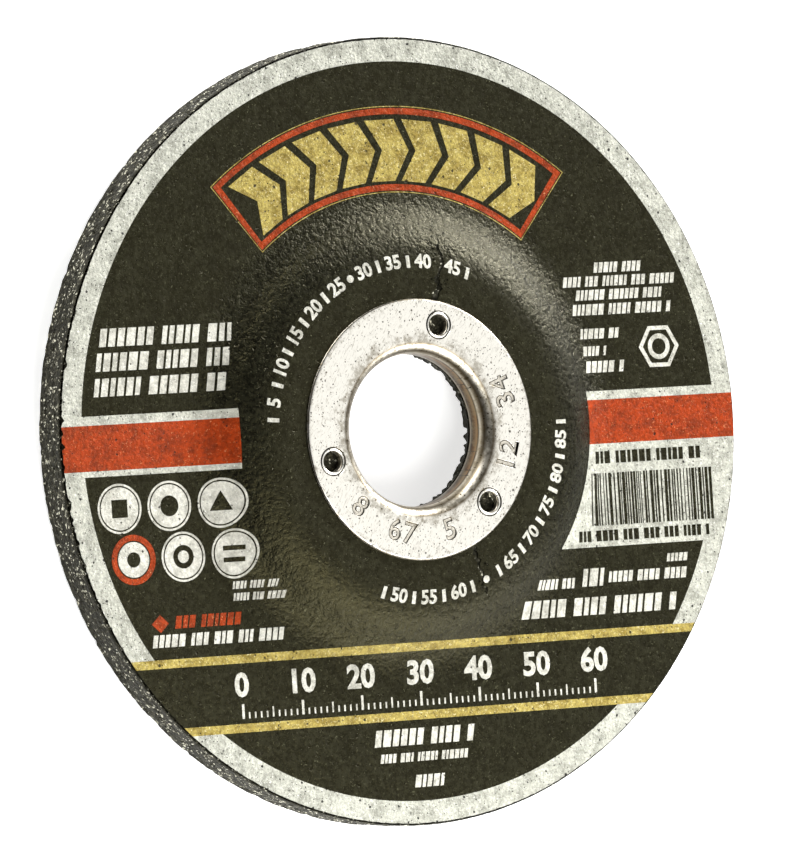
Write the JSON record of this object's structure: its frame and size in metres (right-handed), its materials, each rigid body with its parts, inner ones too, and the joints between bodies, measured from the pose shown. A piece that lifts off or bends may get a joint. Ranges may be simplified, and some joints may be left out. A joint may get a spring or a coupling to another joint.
{
  "type": "grinding disc",
  "caption": "Depressed-centre grinding disc: a dished bonded abrasive wheel with a printed paper label and a pressed steel ring round its bore.",
  "frame": {"origin": "on the bore's axis, in the plane of the flat working face that the disc lies on", "axes": "+Z along the bore towards the label side, +Y towards the top of the label, +X to the label's right"},
  "size_m": [0.115, 0.115, 0.011],
  "materials": {
    "abrasive": "rough resin-bonded grain",
    "label_black": "matt print on paper",
    "print_orange": "matt print on paper",
    "print_gold": "matt print on paper",
    "print_light": "speckled matt paper",
    "ring_steel": "tinned and dull"
  },
  "bodies": {
    "root": {"abrasive_body": "abrasive", "paper_label": "label_black", "orange_print": "print_orange", "gold_print": "print_gold", "light_print": "print_light", "centre_ring": "ring_steel"}
  },
  "joints": []
}
